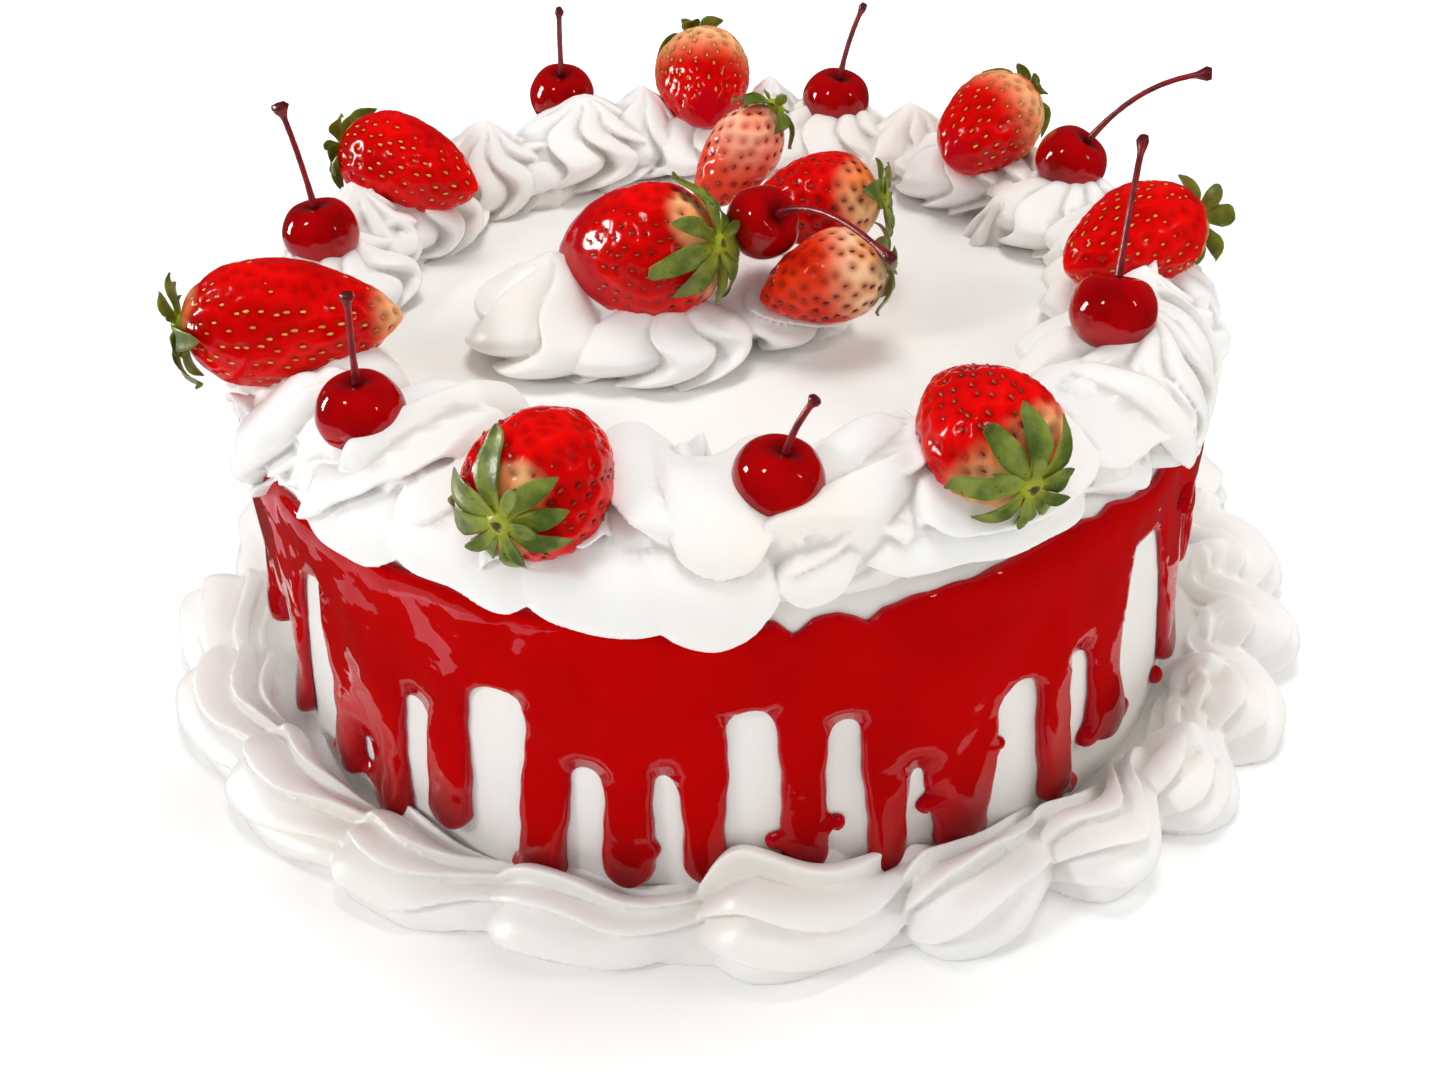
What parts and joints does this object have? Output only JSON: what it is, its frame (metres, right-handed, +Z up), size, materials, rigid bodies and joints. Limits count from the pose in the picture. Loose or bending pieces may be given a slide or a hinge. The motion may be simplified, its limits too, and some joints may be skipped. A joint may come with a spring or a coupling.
{
  "type": "strawberry cake",
  "caption": "Round frosted cake with dripping red glaze, piped cream borders at top and base, a cream mound, strawberries and stemmed cherries.",
  "frame": {"origin": "centre of the cake's flat underside, on the surface that it stands on", "axes": "+Z up, -Y towards the side that faces the viewer, +X to the viewer's right"},
  "size_m": [0.3219, 0.3045, 0.1514],
  "materials": {
    "frosting": "smooth satin frosting",
    "cream": "soft satin whipped cream",
    "glaze": "wet gloss",
    "berry": "gloss",
    "leaf": "satin",
    "cherry": "wet gloss",
    "stem": "satin"
  },
  "bodies": {
    "root": {"cake_body": "frosting", "red_glaze": "glaze", "top_border": "cream", "centre_mound": "cream", "base_border": "cream", "strawberry_1": "berry", "strawberry_2": "berry", "strawberry_3": "berry", "strawberry_4": "berry", "strawberry_5": "berry", "strawberry_6": "berry", "strawberry_7": "berry", "strawberry_8": "berry", "strawberry_9": "berry", "strawberry_10": "berry", "strawberry_11": "berry", "calyx_1": "leaf", "calyx_2": "leaf", "calyx_3": "leaf", "calyx_4": "leaf", "calyx_5": "leaf", "calyx_6": "leaf", "calyx_7": "leaf", "calyx_8": "leaf", "calyx_9": "leaf", "calyx_10": "leaf", "calyx_11": "leaf", "cherry_1": "cherry", "cherry_2": "cherry", "cherry_3": "cherry", "cherry_4": "cherry", "cherry_5": "cherry", "cherry_6": "cherry", "cherry_7": "cherry", "cherry_8": "cherry", "cherry_stem_1": "stem", "cherry_stem_2": "stem", "cherry_stem_3": "stem", "cherry_stem_4": "stem", "cherry_stem_5": "stem", "cherry_stem_6": "stem", "cherry_stem_7": "stem", "cherry_stem_8": "stem"}
  },
  "joints": []
}
